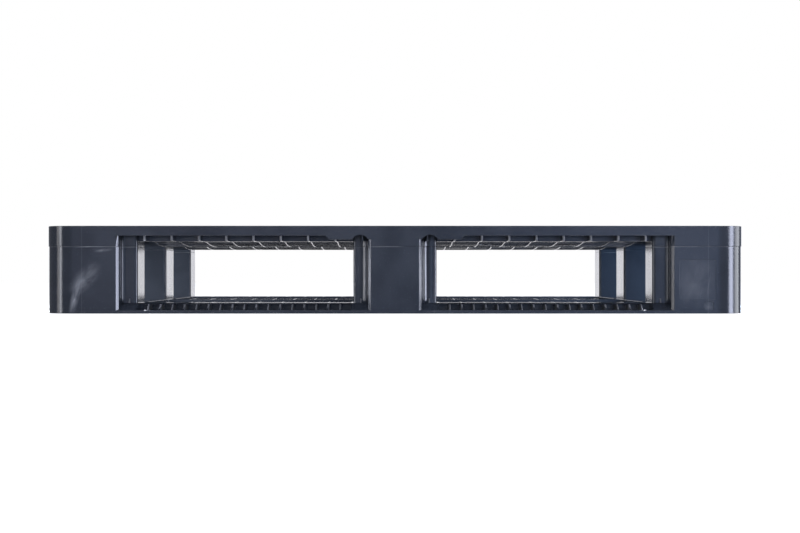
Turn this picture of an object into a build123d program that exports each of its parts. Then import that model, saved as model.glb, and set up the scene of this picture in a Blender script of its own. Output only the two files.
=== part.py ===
"""Plastic pallet, 1200 x 1000 x 150 mm, with nine blocks on a full perimeter base.

Two mouldings meet 35 mm below the load surface: a ribbed deck, and a base of nine hollow blocks that stand
on six ribbed rails. Four square steel tubes stiffen the deck, a plastic plug closes each end of each tube,
and four screws in each block, driven from below, hold the deck to the base.

Frame: millimetres, origin on the floor under the middle of the pallet, X along the 1200 side, Z up.
"""

import os
from math import isclose

from build123d import *

# Overall size
LENGTH = 1200.0
WIDTH = 1000.0
HEIGHT = 150.0
CORNER_RADIUS = 52.0
SEAM_Z = 115.0          # the deck sits on the base at this height
DECK_OVERHANG = 1.0     # how far the deck's edge stands out past the base, all round

# Blocks: each has a narrow face strip at the pallet's edge and a wider body behind it
STRIP_DEPTH = 40.0
CORNER_FACE_X = 472.0   # where a corner block's face strip starts, from the middle of the pallet
CORNER_FACE_Y = 393.0
CORNER_BODY_X = 445.0   # where its body starts
CORNER_BODY_Y = 366.0
MIDDLE_FACE_X = 46.0    # half the length of a middle block's face strip
MIDDLE_FACE_Y = 36.0
MIDDLE_BODY_X = 72.0    # half the length of its body
MIDDLE_BODY_Y = 62.0
BLOCK_WALL = 3.5
BLOCK_EDGE_RADIUS = 6.0
FACE_CHAMFER = 5.0      # down the upright edges of the blocks' outer faces
BLOCK_HOLLOW_RADIUS = 18.0   # the hollow between a middle block's face strip and its body
BLOCK_RIB = 2.5

# Base rails
FLOOR = 4.0             # plate under the rails and the blocks
RAIL_HEIGHT = 18.0
RAIL_WALL = 3.0
RAIL_RIB = 2.6
RAIL_PITCH = 42.0
RAIL_COVER = 2.6        # plate over the outermost pockets, which open through the slope
COVERED_DEPTH = 58.0    # how far in from the edge those pockets reach
RAIL_FOOT = 2.0         # how far a rail stands out past the blocks at the windows
WINDOW_RADIUS = 8.0
SLOPE_DEPTH = 25.0      # the rails' outer edge slopes up over this depth
LIP_HEIGHT = 5.0        # upright edge below that slope

# Deck
PLATE = 4.0
DECK_WALL = 3.5
SKIRT_BOTTOM = 133.0
RIB_BOTTOM = 124.0      # underside of the deck ribs beside the blocks
BELLY_BOTTOM = 118.0    # and half way between two rows of blocks
DECK_RIB = 2.6
PITCH_X = 46.6          # ribs that run front to back
PITCH_Y = 47.0          # ribs that run along the length
FIRST_RIB_X = 55.5
RIBS_PER_SIDE = 12
BAY_RIBS = 8
EDGE_RIB_Y = 436.0      # rib just behind the front and back skirts
HOLE = 31.0
HOLE_RADIUS = 5.0
BAY_HOLE_ROWS = 5
EDGE_HOLE_Y = 461.0
RING_RIB = 4            # the rib, counted from the middle, that each stiffening ring is centred on
RING_RADIUS = 42.0
RING_WALL = 3.0
RING_CLEAR = 62.0       # no hole is centred nearer than this to a ring's centre
SPOKE_REACH = 130.0

# Skirt beside the middle blocks, measured from the block's face: an arch, a deep length, a short slope
ARCH_WIDTH = 27.5
ARCH_TOP = 134.5
DIP_END = 67.0
SLOPE_END = 73.0
DIP_BOTTOM = 126.5

# Steel tubes, their channels in the deck, and the plugs in their ends
TUBE = 20.0
TUBE_WALL = 1.5
TUBE_RADIUS = 3.0
TUBE_ROWS = {"front": -413.0, "mid_front": -44.0, "mid_back": 44.0, "back": 413.0}
CHANNEL_GAP = 0.2
CHANNEL_WALL = 2.0      # beside the tube; its floor is level with the ribs
PLUG_HEAD = 5.0
PLUG_SETBACK = 1.0
PLUG_STEM = 14.0
PLUG_GAP = 0.15
PLUG_SLOT = (9.0, 3.0, 1.5)

# Screws, on a rectangle about the middle of each block's body
SCREW_X = 33.0
SCREW_Y_OUTER = 24.0
SCREW_Y_MIDDLE = 18.0
BASE_BOSS = 9.0
DECK_BOSS = 7.0
DRIVER_BORE = 6.5
SEAT = 8.0              # plastic left under the seam for the head to pull on
CLEARANCE_HOLE = 2.8
PILOT_HOLE = 2.6
PILOT_DEPTH = 26.0
SHANK = 2.5
SHANK_REACH = 24.0
SHANK_TIP = 1.5
HEAD = 5.5
HEAD_HEIGHT = 4.0
HEAD_EDGE = 0.8
DRIVE = 2.4
DRIVE_DEPTH = 2.2

# Blank fields moulded into the outer faces of two opposite corner blocks
FIELD_X = (486.0, 548.0)
FIELD_Z = (24.0, 92.0)
TAG_X = (528.0, 544.0)
TAG_Z = (6.0, 20.0)
FIELD_DEPTH = 1.2
FIELD_RADIUS = 3.0

COLUMNS = {"left": -1, "centre": 0, "right": 1}
ROWS = {"front": -1, "middle": 0, "back": 1}

half_length = LENGTH / 2
half_width = WIDTH / 2
base_length = LENGTH - 2 * DECK_OVERHANG
base_width = WIDTH - 2 * DECK_OVERHANG
base_radius = CORNER_RADIUS - DECK_OVERHANG
strip_x = half_length - STRIP_DEPTH
strip_y = half_width - STRIP_DEPTH
plate_bottom = HEIGHT - PLATE
bay_mid_y = (MIDDLE_BODY_Y + CORNER_BODY_Y) / 2
ring_x = FIRST_RIB_X + RING_RIB * PITCH_X
window_x = (MIDDLE_BODY_X + RAIL_FOOT, CORNER_BODY_X - RAIL_FOOT)
window_y = (MIDDLE_BODY_Y + RAIL_FOOT, CORNER_BODY_Y - RAIL_FOOT)
covered_x = base_length / 2 - COVERED_DEPTH
covered_y = base_width / 2 - COVERED_DEPTH
channel_floor = plate_bottom - TUBE - CHANNEL_GAP

os.makedirs("parts", exist_ok=True)


def span(x0, x1, y0, y1, mode=Mode.ADD):
    """A rectangle in the current sketch between two X and two Y values, in either order."""
    with Locations(((x0 + x1) / 2, (y0 + y1) / 2)):
        Rectangle(abs(x1 - x0), abs(y1 - y0), mode=mode)


def outline(length, width, radius):
    """A plan with four round corners."""
    with BuildSketch() as plan:
        RectangleRounded(length, width, radius)
    return plan.sketch


def is_hollow(vertex, column, row):
    """True for the inside corners of a middle block on the pallet's edge."""
    on_front = row and not column and isclose(abs(vertex.Y), strip_y) and isclose(abs(vertex.X), MIDDLE_FACE_X)
    on_side = column and not row and isclose(abs(vertex.X), strip_x) and isclose(abs(vertex.Y), MIDDLE_FACE_Y)
    return bool(on_front or on_side)


def is_block_edge(vertex):
    """True for an upright edge of a block's body."""
    on_body_x = any(isclose(abs(vertex.X), x) for x in (CORNER_BODY_X, MIDDLE_BODY_X))
    on_body_y = any(isclose(abs(vertex.Y), y) for y in (CORNER_BODY_Y, MIDDLE_BODY_Y))
    in_notch_x = isclose(abs(vertex.X), CORNER_FACE_X) and isclose(abs(vertex.Y), strip_y)
    in_notch_y = isclose(abs(vertex.Y), CORNER_FACE_Y) and isclose(abs(vertex.X), strip_x)
    return on_body_x or on_body_y or in_notch_x or in_notch_y


def is_face_edge(vertex, edge_x, edge_y):
    """True for an upright edge of a block's outer face."""
    on_front = isclose(vertex.Y, edge_y) and any(isclose(abs(vertex.X), x) for x in (CORNER_FACE_X, MIDDLE_FACE_X))
    on_side = isclose(vertex.X, edge_x) and any(isclose(abs(vertex.Y), y) for y in (CORNER_FACE_Y, MIDDLE_FACE_Y))
    return on_front or on_side


def block_plan(column, row, length, width, radius, shrink=0.0):
    """Plan of the block in one column and row (-1, 0 or 1), under a pallet outline of the given size."""
    edge_x = column * length / 2
    edge_y = row * width / 2
    with BuildSketch() as plan:
        if column and row:
            span(column * CORNER_BODY_X, column * strip_x, row * CORNER_BODY_Y, row * strip_y)
            span(column * CORNER_FACE_X, edge_x, row * CORNER_FACE_Y, edge_y)
            add(outline(length, width, radius), mode=Mode.INTERSECT)
        elif column:
            span(column * CORNER_BODY_X, column * strip_x, -MIDDLE_BODY_Y, MIDDLE_BODY_Y)
            span(column * strip_x, edge_x, -MIDDLE_FACE_Y, MIDDLE_FACE_Y)
        elif row:
            span(-MIDDLE_BODY_X, MIDDLE_BODY_X, row * CORNER_BODY_Y, row * strip_y)
            span(-MIDDLE_FACE_X, MIDDLE_FACE_X, row * strip_y, edge_y)
        else:
            span(-MIDDLE_BODY_X, MIDDLE_BODY_X, -MIDDLE_BODY_Y, MIDDLE_BODY_Y)
        hollows = [v for v in plan.vertices() if is_hollow(v, column, row)]
        if hollows:
            fillet(hollows, BLOCK_HOLLOW_RADIUS)
        fillet([v for v in plan.vertices() if is_block_edge(v)], BLOCK_EDGE_RADIUS)
        outer = [v for v in plan.vertices() if is_face_edge(v, edge_x, edge_y)]
        if outer:
            chamfer(outer, FACE_CHAMFER)
        if shrink:
            offset(amount=-shrink, kind=Kind.INTERSECTION, mode=Mode.REPLACE)
    return plan.sketch


def block_middle(column, row):
    """Middle of a block's body in plan."""
    return (
        column * (CORNER_BODY_X + strip_x) / 2,
        row * (CORNER_BODY_Y + strip_y) / 2,
    )


def screw_points(column, row):
    """The four screw positions of one block."""
    x, y = block_middle(column, row)
    reach_y = SCREW_Y_OUTER if row else SCREW_Y_MIDDLE
    return [(x + i * SCREW_X, y + j * reach_y) for i in (-1, 1) for j in (-1, 1)]


BLOCKS = [(column, row) for column in COLUMNS.values() for row in ROWS.values()]
all_screws = [point for column, row in BLOCKS for point in screw_points(column, row)]


def cells(x0, x1, y0, y1, rows, along_x):
    """Pockets that fill a stretch of rail in rows, a rib apart, at the rail's pitch along its run."""
    if along_x:
        across, down = round((x1 - x0) / RAIL_PITCH), rows
    else:
        across, down = rows, round((y1 - y0) / RAIL_PITCH)
    step_x = (x1 - x0 + RAIL_RIB) / across
    step_y = (y1 - y0 + RAIL_RIB) / down
    with Locations(((x0 + x1) / 2, (y0 + y1) / 2)):
        with GridLocations(step_x, step_y, across, down):
            Rectangle(step_x - RAIL_RIB, step_y - RAIL_RIB)


def rail_cells():
    """Plan of every open pocket in the rails of one quarter of the base, X and Y both positive."""
    inner_x = window_x[0] + RAIL_WALL
    outer_x = window_x[1] - RAIL_WALL
    inner_y = window_y[0] + RAIL_WALL
    outer_y = window_y[1] - RAIL_WALL
    with BuildSketch() as plan:
        cells(inner_x, outer_x, window_y[1] + RAIL_WALL, covered_y - RAIL_WALL, 2, True)
        cells(window_x[1] + RAIL_WALL, covered_x - RAIL_WALL, inner_y, outer_y, 2, False)
        cells(inner_x, outer_x, RAIL_WALL / 2, window_y[0] - RAIL_WALL, 2, True)
        cells(RAIL_WALL / 2, window_x[0] - RAIL_WALL, inner_y, outer_y, 2, False)
    return plan.sketch


def covered_cells():
    """Plan of the outermost pockets of one quarter, which open through the sloping edge."""
    edge_x = base_length / 2 - RAIL_WALL
    edge_y = base_width / 2 - RAIL_WALL
    with BuildSketch() as plan:
        cells(MIDDLE_BODY_X + RAIL_WALL, CORNER_BODY_X - RAIL_WALL, covered_y, edge_y, 1, True)
        cells(covered_x, edge_x, MIDDLE_BODY_Y + RAIL_WALL, CORNER_BODY_Y - RAIL_WALL, 1, False)
    return plan.sketch


def all_quarters(quarter):
    """A plan repeated in all four quarters of the pallet."""
    half = quarter + mirror(quarter, about=Plane.YZ)
    return half + mirror(half, about=Plane.XZ)


def hole_points():
    """Middle of every hole in the deck plate."""
    columns = [FIRST_RIB_X / 2] + [FIRST_RIB_X + (k + 0.5) * PITCH_X for k in range(RIBS_PER_SIDE - 1)]
    bay_rows = [bay_mid_y + (k - BAY_HOLE_ROWS // 2) * PITCH_Y for k in range(BAY_HOLE_ROWS)]
    points = []
    for x in columns:
        for y in bay_rows:
            if (Vector(x, y) - Vector(ring_x, bay_mid_y)).length > RING_CLEAR:
                points.append((x, y))
        if MIDDLE_BODY_X < x - HOLE / 2 and x + HOLE / 2 < CORNER_BODY_X:
            points.append((x, EDGE_HOLE_Y))
            points.append((x, 0))
    mirrored = {(i * x, j * y) for x, y in points for i in (-1, 1) for j in (-1, 1)}
    return sorted(mirrored)


def fork_openings(inner, outer):
    """Both fork openings in one side of the skirt, seen square on, between a middle face and a corner face."""
    start = inner - BLOCK_EDGE_RADIUS
    end = outer + BLOCK_EDGE_RADIUS
    arch_end = inner + ARCH_WIDTH
    below = SEAM_Z - 1
    with BuildSketch() as plan:
        with BuildLine():
            Polyline(
                (inner, DIP_BOTTOM),
                (start, DIP_BOTTOM),
                (start, below),
                (end, below),
                (end, SKIRT_BOTTOM),
                (inner + SLOPE_END, SKIRT_BOTTOM),
                (inner + DIP_END, DIP_BOTTOM),
                (arch_end, DIP_BOTTOM),
            )
            ThreePointArc((arch_end, DIP_BOTTOM), (inner + ARCH_WIDTH / 2, ARCH_TOP), (inner, DIP_BOTTOM))
        make_face()
        mirror(about=Plane.YZ)
    return plan.sketch


with BuildPart() as base:
    # Rails: a plate with an upright lip, and a sloping outer edge above it
    with BuildSketch():
        add(outline(base_length, base_width, base_radius))
    extrude(amount=LIP_HEIGHT)
    with BuildSketch(Plane.XY.offset(LIP_HEIGHT)):
        add(outline(base_length, base_width, base_radius))
    with BuildSketch(Plane.XY.offset(RAIL_HEIGHT)):
        add(outline(base_length - 2 * SLOPE_DEPTH, base_width - 2 * SLOPE_DEPTH, base_radius - SLOPE_DEPTH))
    loft()
    with BuildSketch():
        with GridLocations(window_x[0] + window_x[1], window_y[0] + window_y[1], 2, 2):
            RectangleRounded(window_x[1] - window_x[0], window_y[1] - window_y[0], WINDOW_RADIUS)
    extrude(amount=RAIL_HEIGHT, mode=Mode.SUBTRACT)
    with BuildSketch(Plane.XY.offset(FLOOR)):
        add(all_quarters(rail_cells()))
    extrude(amount=RAIL_HEIGHT, mode=Mode.SUBTRACT)
    with BuildSketch(Plane.XY.offset(FLOOR)):
        add(all_quarters(covered_cells()))
    extrude(amount=RAIL_HEIGHT - RAIL_COVER - FLOOR, mode=Mode.SUBTRACT)

    # Blocks: hollow, open at the top, with crossed ribs and four screw bosses inside
    with BuildSketch():
        for column, row in BLOCKS:
            add(block_plan(column, row, base_length, base_width, base_radius))
    extrude(amount=SEAM_Z)
    with BuildSketch(Plane.XY.offset(FLOOR)):
        for column, row in BLOCKS:
            add(block_plan(column, row, base_length, base_width, base_radius, BLOCK_WALL))
        for x in sorted({block_middle(column, row)[0] for column, row in BLOCKS}):
            span(x - BLOCK_RIB / 2, x + BLOCK_RIB / 2, -half_width, half_width, Mode.SUBTRACT)
        for y in sorted({block_middle(column, row)[1] for column, row in BLOCKS}):
            span(-half_length, half_length, y - BLOCK_RIB / 2, y + BLOCK_RIB / 2, Mode.SUBTRACT)
        with Locations(*all_screws):
            Circle(BASE_BOSS, mode=Mode.SUBTRACT)
    extrude(amount=SEAM_Z - FLOOR, mode=Mode.SUBTRACT)
    with BuildSketch():
        with Locations(*all_screws):
            Circle(DRIVER_BORE)
    extrude(amount=SEAM_Z - SEAT, mode=Mode.SUBTRACT)
    with BuildSketch():
        with Locations(*all_screws):
            Circle(CLEARANCE_HOLE)
    extrude(amount=SEAM_Z, mode=Mode.SUBTRACT)

    # Blank fields, on the front right and back left corner blocks
    for side in (-1, 1):
        with BuildSketch(Plane.XZ.offset(side * base_width / 2)):
            for (x0, x1), (z0, z1) in ((FIELD_X, FIELD_Z), (TAG_X, TAG_Z)):
                with Locations((side * (x0 + x1) / 2, (z0 + z1) / 2)):
                    RectangleRounded(x1 - x0, z1 - z0, FIELD_RADIUS)
        extrude(amount=-side * FIELD_DEPTH, mode=Mode.SUBTRACT)

channel = TUBE + 2 * CHANNEL_GAP
channel_points = [(0, y) for y in TUBE_ROWS.values()]

with BuildSketch() as deck_outline:
    add(outline(LENGTH, WIDTH, CORNER_RADIUS))
with BuildSketch() as deck_inside:
    add(outline(LENGTH - 2 * DECK_WALL, WIDTH - 2 * DECK_WALL, CORNER_RADIUS - DECK_WALL))
with BuildSketch() as deck_stubs:
    for column, row in BLOCKS:
        add(block_plan(column, row, LENGTH, WIDTH, CORNER_RADIUS))
with BuildSketch() as stub_walls:
    add(deck_stubs.sketch)
    for column, row in BLOCKS:
        add(block_plan(column, row, LENGTH, WIDTH, CORNER_RADIUS, DECK_WALL), mode=Mode.SUBTRACT)
    with Locations(*all_screws):
        Circle(DECK_BOSS)

# The space under the deck's ribs: flat beside the blocks, with a shallow belly between their rows
with BuildPart() as under_ribs:
    with BuildSketch(Plane.XY.offset(SEAM_Z)):
        add(deck_inside.sketch)
        add(stub_walls.sketch, mode=Mode.SUBTRACT)
    extrude(amount=RIB_BOTTOM - SEAM_Z)
    with BuildSketch(Plane.YZ):
        with BuildLine():
            Polyline(
                (-CORNER_BODY_Y, RIB_BOTTOM),
                (-half_width, RIB_BOTTOM),
                (-half_width, SEAM_Z),
                (half_width, SEAM_Z),
                (half_width, RIB_BOTTOM),
                (CORNER_BODY_Y, RIB_BOTTOM),
            )
            ThreePointArc(
                (CORNER_BODY_Y, RIB_BOTTOM), (bay_mid_y, BELLY_BOTTOM), (MIDDLE_BODY_Y, RIB_BOTTOM)
            )
            Line((MIDDLE_BODY_Y, RIB_BOTTOM), (-MIDDLE_BODY_Y, RIB_BOTTOM))
            ThreePointArc(
                (-MIDDLE_BODY_Y, RIB_BOTTOM), (-bay_mid_y, BELLY_BOTTOM), (-CORNER_BODY_Y, RIB_BOTTOM)
            )
        make_face()
    extrude(amount=half_length, both=True, mode=Mode.INTERSECT)

# The fork openings in the four sides of the skirt
with BuildPart() as skirt_openings:
    with BuildSketch(Plane.XZ):
        add(fork_openings(MIDDLE_FACE_X, CORNER_FACE_X))
    extrude(amount=half_width + 1, both=True)
    with BuildSketch(Plane.YZ):
        add(fork_openings(MIDDLE_FACE_Y, CORNER_FACE_Y))
    extrude(amount=half_length + 1, both=True)
    with BuildSketch():
        add(outline(LENGTH + 2, WIDTH + 2, CORNER_RADIUS + 1))
        add(deck_inside.sketch, mode=Mode.SUBTRACT)
        add(deck_stubs.sketch, mode=Mode.SUBTRACT)
    extrude(amount=HEIGHT, mode=Mode.INTERSECT)

with BuildPart() as deck:
    with BuildSketch(Plane.XY.offset(SEAM_Z)):
        add(deck_outline.sketch)
    extrude(amount=HEIGHT - SEAM_Z)
    add(under_ribs.part, mode=Mode.SUBTRACT)
    add(skirt_openings.part, mode=Mode.SUBTRACT)

    # Pockets between the ribs, up to the plate
    with BuildSketch(Plane.XY.offset(SEAM_Z)):
        add(deck_inside.sketch)
        span(-DECK_RIB / 2, DECK_RIB / 2, -half_width, half_width, Mode.SUBTRACT)
        for side in (-1, 1):
            for k in range(RIBS_PER_SIDE):
                x = side * (FIRST_RIB_X + k * PITCH_X)
                span(x - DECK_RIB / 2, x + DECK_RIB / 2, -half_width, half_width, Mode.SUBTRACT)
            for k in range(BAY_RIBS):
                y = side * (bay_mid_y + (k - (BAY_RIBS - 1) / 2) * PITCH_Y)
                span(-half_length, half_length, y - DECK_RIB / 2, y + DECK_RIB / 2, Mode.SUBTRACT)
            y = side * EDGE_RIB_Y
            span(-half_length, half_length, y - DECK_RIB / 2, y + DECK_RIB / 2, Mode.SUBTRACT)
        with GridLocations(2 * ring_x, 2 * bay_mid_y, 2, 2):
            Rectangle(2 * SPOKE_REACH, DECK_RIB, rotation=45, mode=Mode.SUBTRACT)
            Rectangle(2 * SPOKE_REACH, DECK_RIB, rotation=-45, mode=Mode.SUBTRACT)
        with BuildSketch(mode=Mode.SUBTRACT):
            with GridLocations(2 * ring_x, 2 * bay_mid_y, 2, 2):
                Circle(RING_RADIUS)
                Circle(RING_RADIUS - RING_WALL, mode=Mode.SUBTRACT)
        with Locations(*channel_points):
            Rectangle(LENGTH, channel + 2 * CHANNEL_WALL, mode=Mode.SUBTRACT)
        add(stub_walls.sketch, mode=Mode.SUBTRACT)
    extrude(amount=plate_bottom - SEAM_Z, mode=Mode.SUBTRACT)

    # Holes in the load surface, tube channels open at both ends, and pilot holes for the screws
    with BuildSketch(Plane.XY.offset(plate_bottom)):
        with Locations(*hole_points()):
            RectangleRounded(HOLE, HOLE, HOLE_RADIUS)
    extrude(amount=PLATE, mode=Mode.SUBTRACT)
    with BuildSketch(Plane.XY.offset(channel_floor)):
        with Locations(*channel_points):
            Rectangle(LENGTH + 2, channel)
    extrude(amount=plate_bottom - channel_floor, mode=Mode.SUBTRACT)
    with BuildSketch(Plane.XY.offset(SEAM_Z)):
        with Locations(*all_screws):
            Circle(PILOT_HOLE)
    extrude(amount=PILOT_DEPTH, mode=Mode.SUBTRACT)

base.part.label = "base_frame"
export_step(base.part, "parts/base_frame.step")
deck.part.label = "top_deck"
export_step(deck.part, "parts/top_deck.step")

tube_length = LENGTH - 2 * (PLUG_HEAD + PLUG_SETBACK)
tube_middle_z = channel_floor + TUBE / 2
for name, y in TUBE_ROWS.items():
    with BuildPart() as tube:
        with BuildSketch(Plane.YZ.offset(-tube_length / 2)):
            with Locations((y, tube_middle_z)):
                RectangleRounded(TUBE, TUBE, TUBE_RADIUS)
                RectangleRounded(
                    TUBE - 2 * TUBE_WALL, TUBE - 2 * TUBE_WALL, TUBE_RADIUS - TUBE_WALL, mode=Mode.SUBTRACT
                )
        extrude(amount=tube_length)
    tube.part.label = f"steel_tube_{name}"
    export_step(tube.part, f"parts/{tube.part.label}.step")

    for end, side in (("left", -1), ("right", 1)):
        head_plane = Plane(
            origin=(side * (half_length - PLUG_SETBACK), y, tube_middle_z), x_dir=(0, 1, 0), z_dir=(side, 0, 0)
        )
        with BuildPart() as plug:
            with BuildSketch(head_plane):
                RectangleRounded(TUBE, TUBE, TUBE_RADIUS)
            extrude(amount=-PLUG_HEAD)
            with BuildSketch(head_plane.offset(-PLUG_HEAD)):
                stem = TUBE - 2 * (TUBE_WALL + PLUG_GAP)
                RectangleRounded(stem, stem, TUBE_RADIUS - TUBE_WALL)
            extrude(amount=-PLUG_STEM)
            with BuildSketch(head_plane):
                Rectangle(PLUG_SLOT[0], PLUG_SLOT[1])
            extrude(amount=-PLUG_SLOT[2], mode=Mode.SUBTRACT)
        plug.part.label = f"tube_plug_{name}_{end}"
        export_step(plug.part, f"parts/{plug.part.label}.step")

head_top = SEAM_Z - SEAT
for row_name, row in ROWS.items():
    for column_name, column in COLUMNS.items():
        with BuildPart() as screws:
            with BuildSketch(Plane.XY.offset(head_top - HEAD_HEIGHT)):
                with Locations(*screw_points(column, row)):
                    Circle(HEAD)
            extrude(amount=HEAD_HEIGHT)
            chamfer(screws.edges().group_by(Axis.Z)[0], HEAD_EDGE)
            with BuildSketch(Plane.XY.offset(head_top)):
                with Locations(*screw_points(column, row)):
                    Circle(SHANK)
            extrude(amount=SEAT + SHANK_REACH)
            chamfer(screws.edges().group_by(Axis.Z)[-1], SHANK_TIP)
            with BuildSketch(Plane.XY.offset(head_top - HEAD_HEIGHT)):
                with Locations(*screw_points(column, row)):
                    Rectangle(DRIVE, DRIVE, rotation=45)
            extrude(amount=DRIVE_DEPTH, mode=Mode.SUBTRACT)
        screws.part.label = f"block_screws_{row_name}_{column_name}"
        export_step(screws.part, f"parts/{screws.part.label}.step")
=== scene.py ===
import math

import bmesh
import bpy
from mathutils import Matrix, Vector


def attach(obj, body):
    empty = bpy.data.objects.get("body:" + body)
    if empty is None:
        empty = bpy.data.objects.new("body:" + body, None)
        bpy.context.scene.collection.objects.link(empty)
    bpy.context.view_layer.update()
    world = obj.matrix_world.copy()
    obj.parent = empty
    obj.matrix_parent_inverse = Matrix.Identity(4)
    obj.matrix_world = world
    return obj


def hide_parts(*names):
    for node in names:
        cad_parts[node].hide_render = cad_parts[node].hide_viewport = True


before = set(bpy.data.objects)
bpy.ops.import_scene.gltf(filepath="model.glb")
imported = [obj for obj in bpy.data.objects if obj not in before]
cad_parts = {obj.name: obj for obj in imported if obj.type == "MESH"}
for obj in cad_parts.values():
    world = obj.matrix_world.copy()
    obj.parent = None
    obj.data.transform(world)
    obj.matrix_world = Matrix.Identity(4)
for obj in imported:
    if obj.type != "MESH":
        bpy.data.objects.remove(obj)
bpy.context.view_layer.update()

# -------------------------------------------------------------------------------------------------
# Base moulding: nine hollow blocks on six ribbed rails, injection moulded in one shot from recycled
# polyolefin. The mould leaves a soft semi-gloss and a fine grain, and its outward arrises have a
# small radius.

BASE_ARRIS = 0.0005
OUTER_ARRIS = 0.0007
OUTER_X = 0.59
OUTER_Y = 0.49
BASE_COLOUR = (0.0165, 0.0196, 0.0265)
SCUFF_AND_PAINTED_HIGHLIGHT_COLOUR = (0.24, 0.25, 0.28)
MERGE_DISTANCE = 1e-5
FLAT_BEND = 0.6
SHARP_BEND = 40
CHAMFER_BEND = 50
SMOOTH_BEND = 50
UPRIGHT = 0.9
FLAT_WEIGHT = 90

STREAK_STRETCH = (14, 320, 420)
PATCH_LEVEL = 0.8
PATCH_SPREAD = 0.4
PATCH_EDGE = 7.0
SCUFF_STRENGTH = 0.45
MARK_SPREAD = 1.3

LINE_REACH = 0.0009
# Painted highlights: pale upright lines where the rounded corners start, at these distances out.
PAINTED_CORNER_HIGHLIGHTS = (("X", 0.535), ("Y", 0.435))
PAINTED_CORNER_HIGHLIGHT_STRENGTH = 0.07
# Painted highlight: a pale line along the seam between the mouldings, broken into patches.
SEAM_HEIGHT = 0.1143
SEAM_PATCHES = 14.0
PAINTED_SEAM_HIGHLIGHT_STRENGTH = 0.35
# middle and half width along X, middle and half height along Z
FIELDS = ((0.517, 0.031, 0.058, 0.034), (0.536, 0.008, 0.013, 0.007))
FIELD_EDGE = 1500.0
FIELD_STRENGTH = 0.03

CLOUD_GAIN = 1.35
CLOUD_LIFT = 0.002
SPECKLE_GAIN = 2.2
SPECKLE_LIFT = 0.004
SPECKLE_STRENGTH = 0.5
CLOUD_DULLING = 0.05
MARK_DULLING = 0.35
PLASTIC_IOR = 1.5
GRAIN_STRENGTH = 0.35
GRAIN_DEPTH = 0.0002


def link(piece):
    bpy.context.collection.objects.link(piece)
    return piece


def moulded_copy(node, name, arris, outer_arris, segments):
    """A merged copy of a CAD solid whose outward edges are rounded, as a mould leaves them.

    The edges of the chamfers at the outer faces get a wider rounding than the rest. Inward edges
    stay sharp.
    """
    solid = bmesh.new()
    solid.from_mesh(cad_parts[node].data)
    bmesh.ops.remove_doubles(solid, verts=solid.verts, dist=MERGE_DISTANCE)
    bmesh.ops.dissolve_limit(
        solid, angle_limit=math.radians(FLAT_BEND), verts=solid.verts, edges=solid.edges
    )
    weights = solid.edges.layers.float.new("bevel_weight_edge")
    for edge in solid.edges:
        bend = math.degrees(edge.calc_face_angle(0))
        start, end = (vertex.co for vertex in edge.verts)
        upright = abs(start.z - end.z) > UPRIGHT * edge.calc_length()
        outer_x = min(abs(start.x), abs(end.x)) > OUTER_X
        outer_y = min(abs(start.y), abs(end.y)) > OUTER_Y
        if upright and (outer_x or outer_y) and SHARP_BEND < bend < CHAMFER_BEND:
            edge[weights] = 1
        elif bend > SHARP_BEND and edge.is_convex:
            edge[weights] = arris / outer_arris
    mesh = bpy.data.meshes.new(name)
    solid.to_mesh(mesh)
    solid.free()
    piece = link(bpy.data.objects.new(name, mesh))
    rounding = piece.modifiers.new("arris", "BEVEL")
    rounding.width = outer_arris
    rounding.segments = segments
    rounding.limit_method = "WEIGHT"
    rounding.use_clamp_overlap = False
    return settle(piece)


def freeze(piece):
    """Replaces an object's modifiers by the mesh that they make."""
    view = bpy.context.evaluated_depsgraph_get()
    mesh = bpy.data.meshes.new_from_object(piece.evaluated_get(view))
    piece.modifiers.clear()
    piece.data = mesh
    mesh.name = piece.name


def settle(piece):
    """Turns an object and its modifiers into a plain mesh, smooth across its gentle bends.

    Its normals are weighted by area, so that the roundings don't tilt those of the flat faces.
    """
    freeze(piece)
    mesh = piece.data
    shade = bmesh.new()
    shade.from_mesh(mesh)
    for face in shade.faces:
        face.smooth = True
    for edge in shade.edges:
        edge.smooth = edge.calc_face_angle(0) < math.radians(SMOOTH_BEND)
    shade.to_mesh(mesh)
    shade.free()
    flats = piece.modifiers.new("flats", "WEIGHTED_NORMAL")
    flats.keep_sharp = True
    flats.weight = FLAT_WEIGHT
    freeze(piece)
    return piece


def effect_group(name, inputs, outputs):
    """An empty shader group with named inputs and outputs, and its two end nodes."""
    group = bpy.data.node_groups.new(name, "ShaderNodeTree")
    for label, kind, value in inputs:
        socket = group.interface.new_socket(name=label, in_out="INPUT", socket_type=kind)
        socket.default_value = value
    for label, kind in outputs:
        group.interface.new_socket(name=label, in_out="OUTPUT", socket_type=kind)
    return group, group.nodes.new("NodeGroupInput"), group.nodes.new("NodeGroupOutput")


def feed(tree, socket, value):
    """Links a socket to another one, or sets it to a plain value."""
    if isinstance(value, bpy.types.NodeSocket):
        tree.links.new(value, socket)
    else:
        socket.default_value = value


def shader_math(tree, operation, a, b, clamp=False):
    """A Math node fed by two sockets or numbers."""
    node = tree.nodes.new("ShaderNodeMath")
    node.operation = operation
    node.use_clamp = clamp
    for socket, value in zip(node.inputs, (a, b)):
        feed(tree, socket, value)
    return node.outputs[0]


def blend(tree, factor, first, second):
    """A colour between two others, each a socket or a value."""
    node = tree.nodes.new("ShaderNodeMix")
    node.data_type = "RGBA"
    for label, value in (("Factor", factor), ("A", first), ("B", second)):
        feed(tree, node.inputs[label], value)
    return node.outputs["Result"]


def bump(tree, height, strength, depth):
    """Normals of a surface whose height varies."""
    node = tree.nodes.new("ShaderNodeBump")
    node.inputs["Strength"].default_value = strength
    node.inputs["Distance"].default_value = depth
    tree.links.new(height, node.inputs["Height"])
    return node.outputs["Normal"]


def split_axes(tree, where):
    node = tree.nodes.new("ShaderNodeSeparateXYZ")
    tree.links.new(where, node.inputs[0])
    return node.outputs


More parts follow.
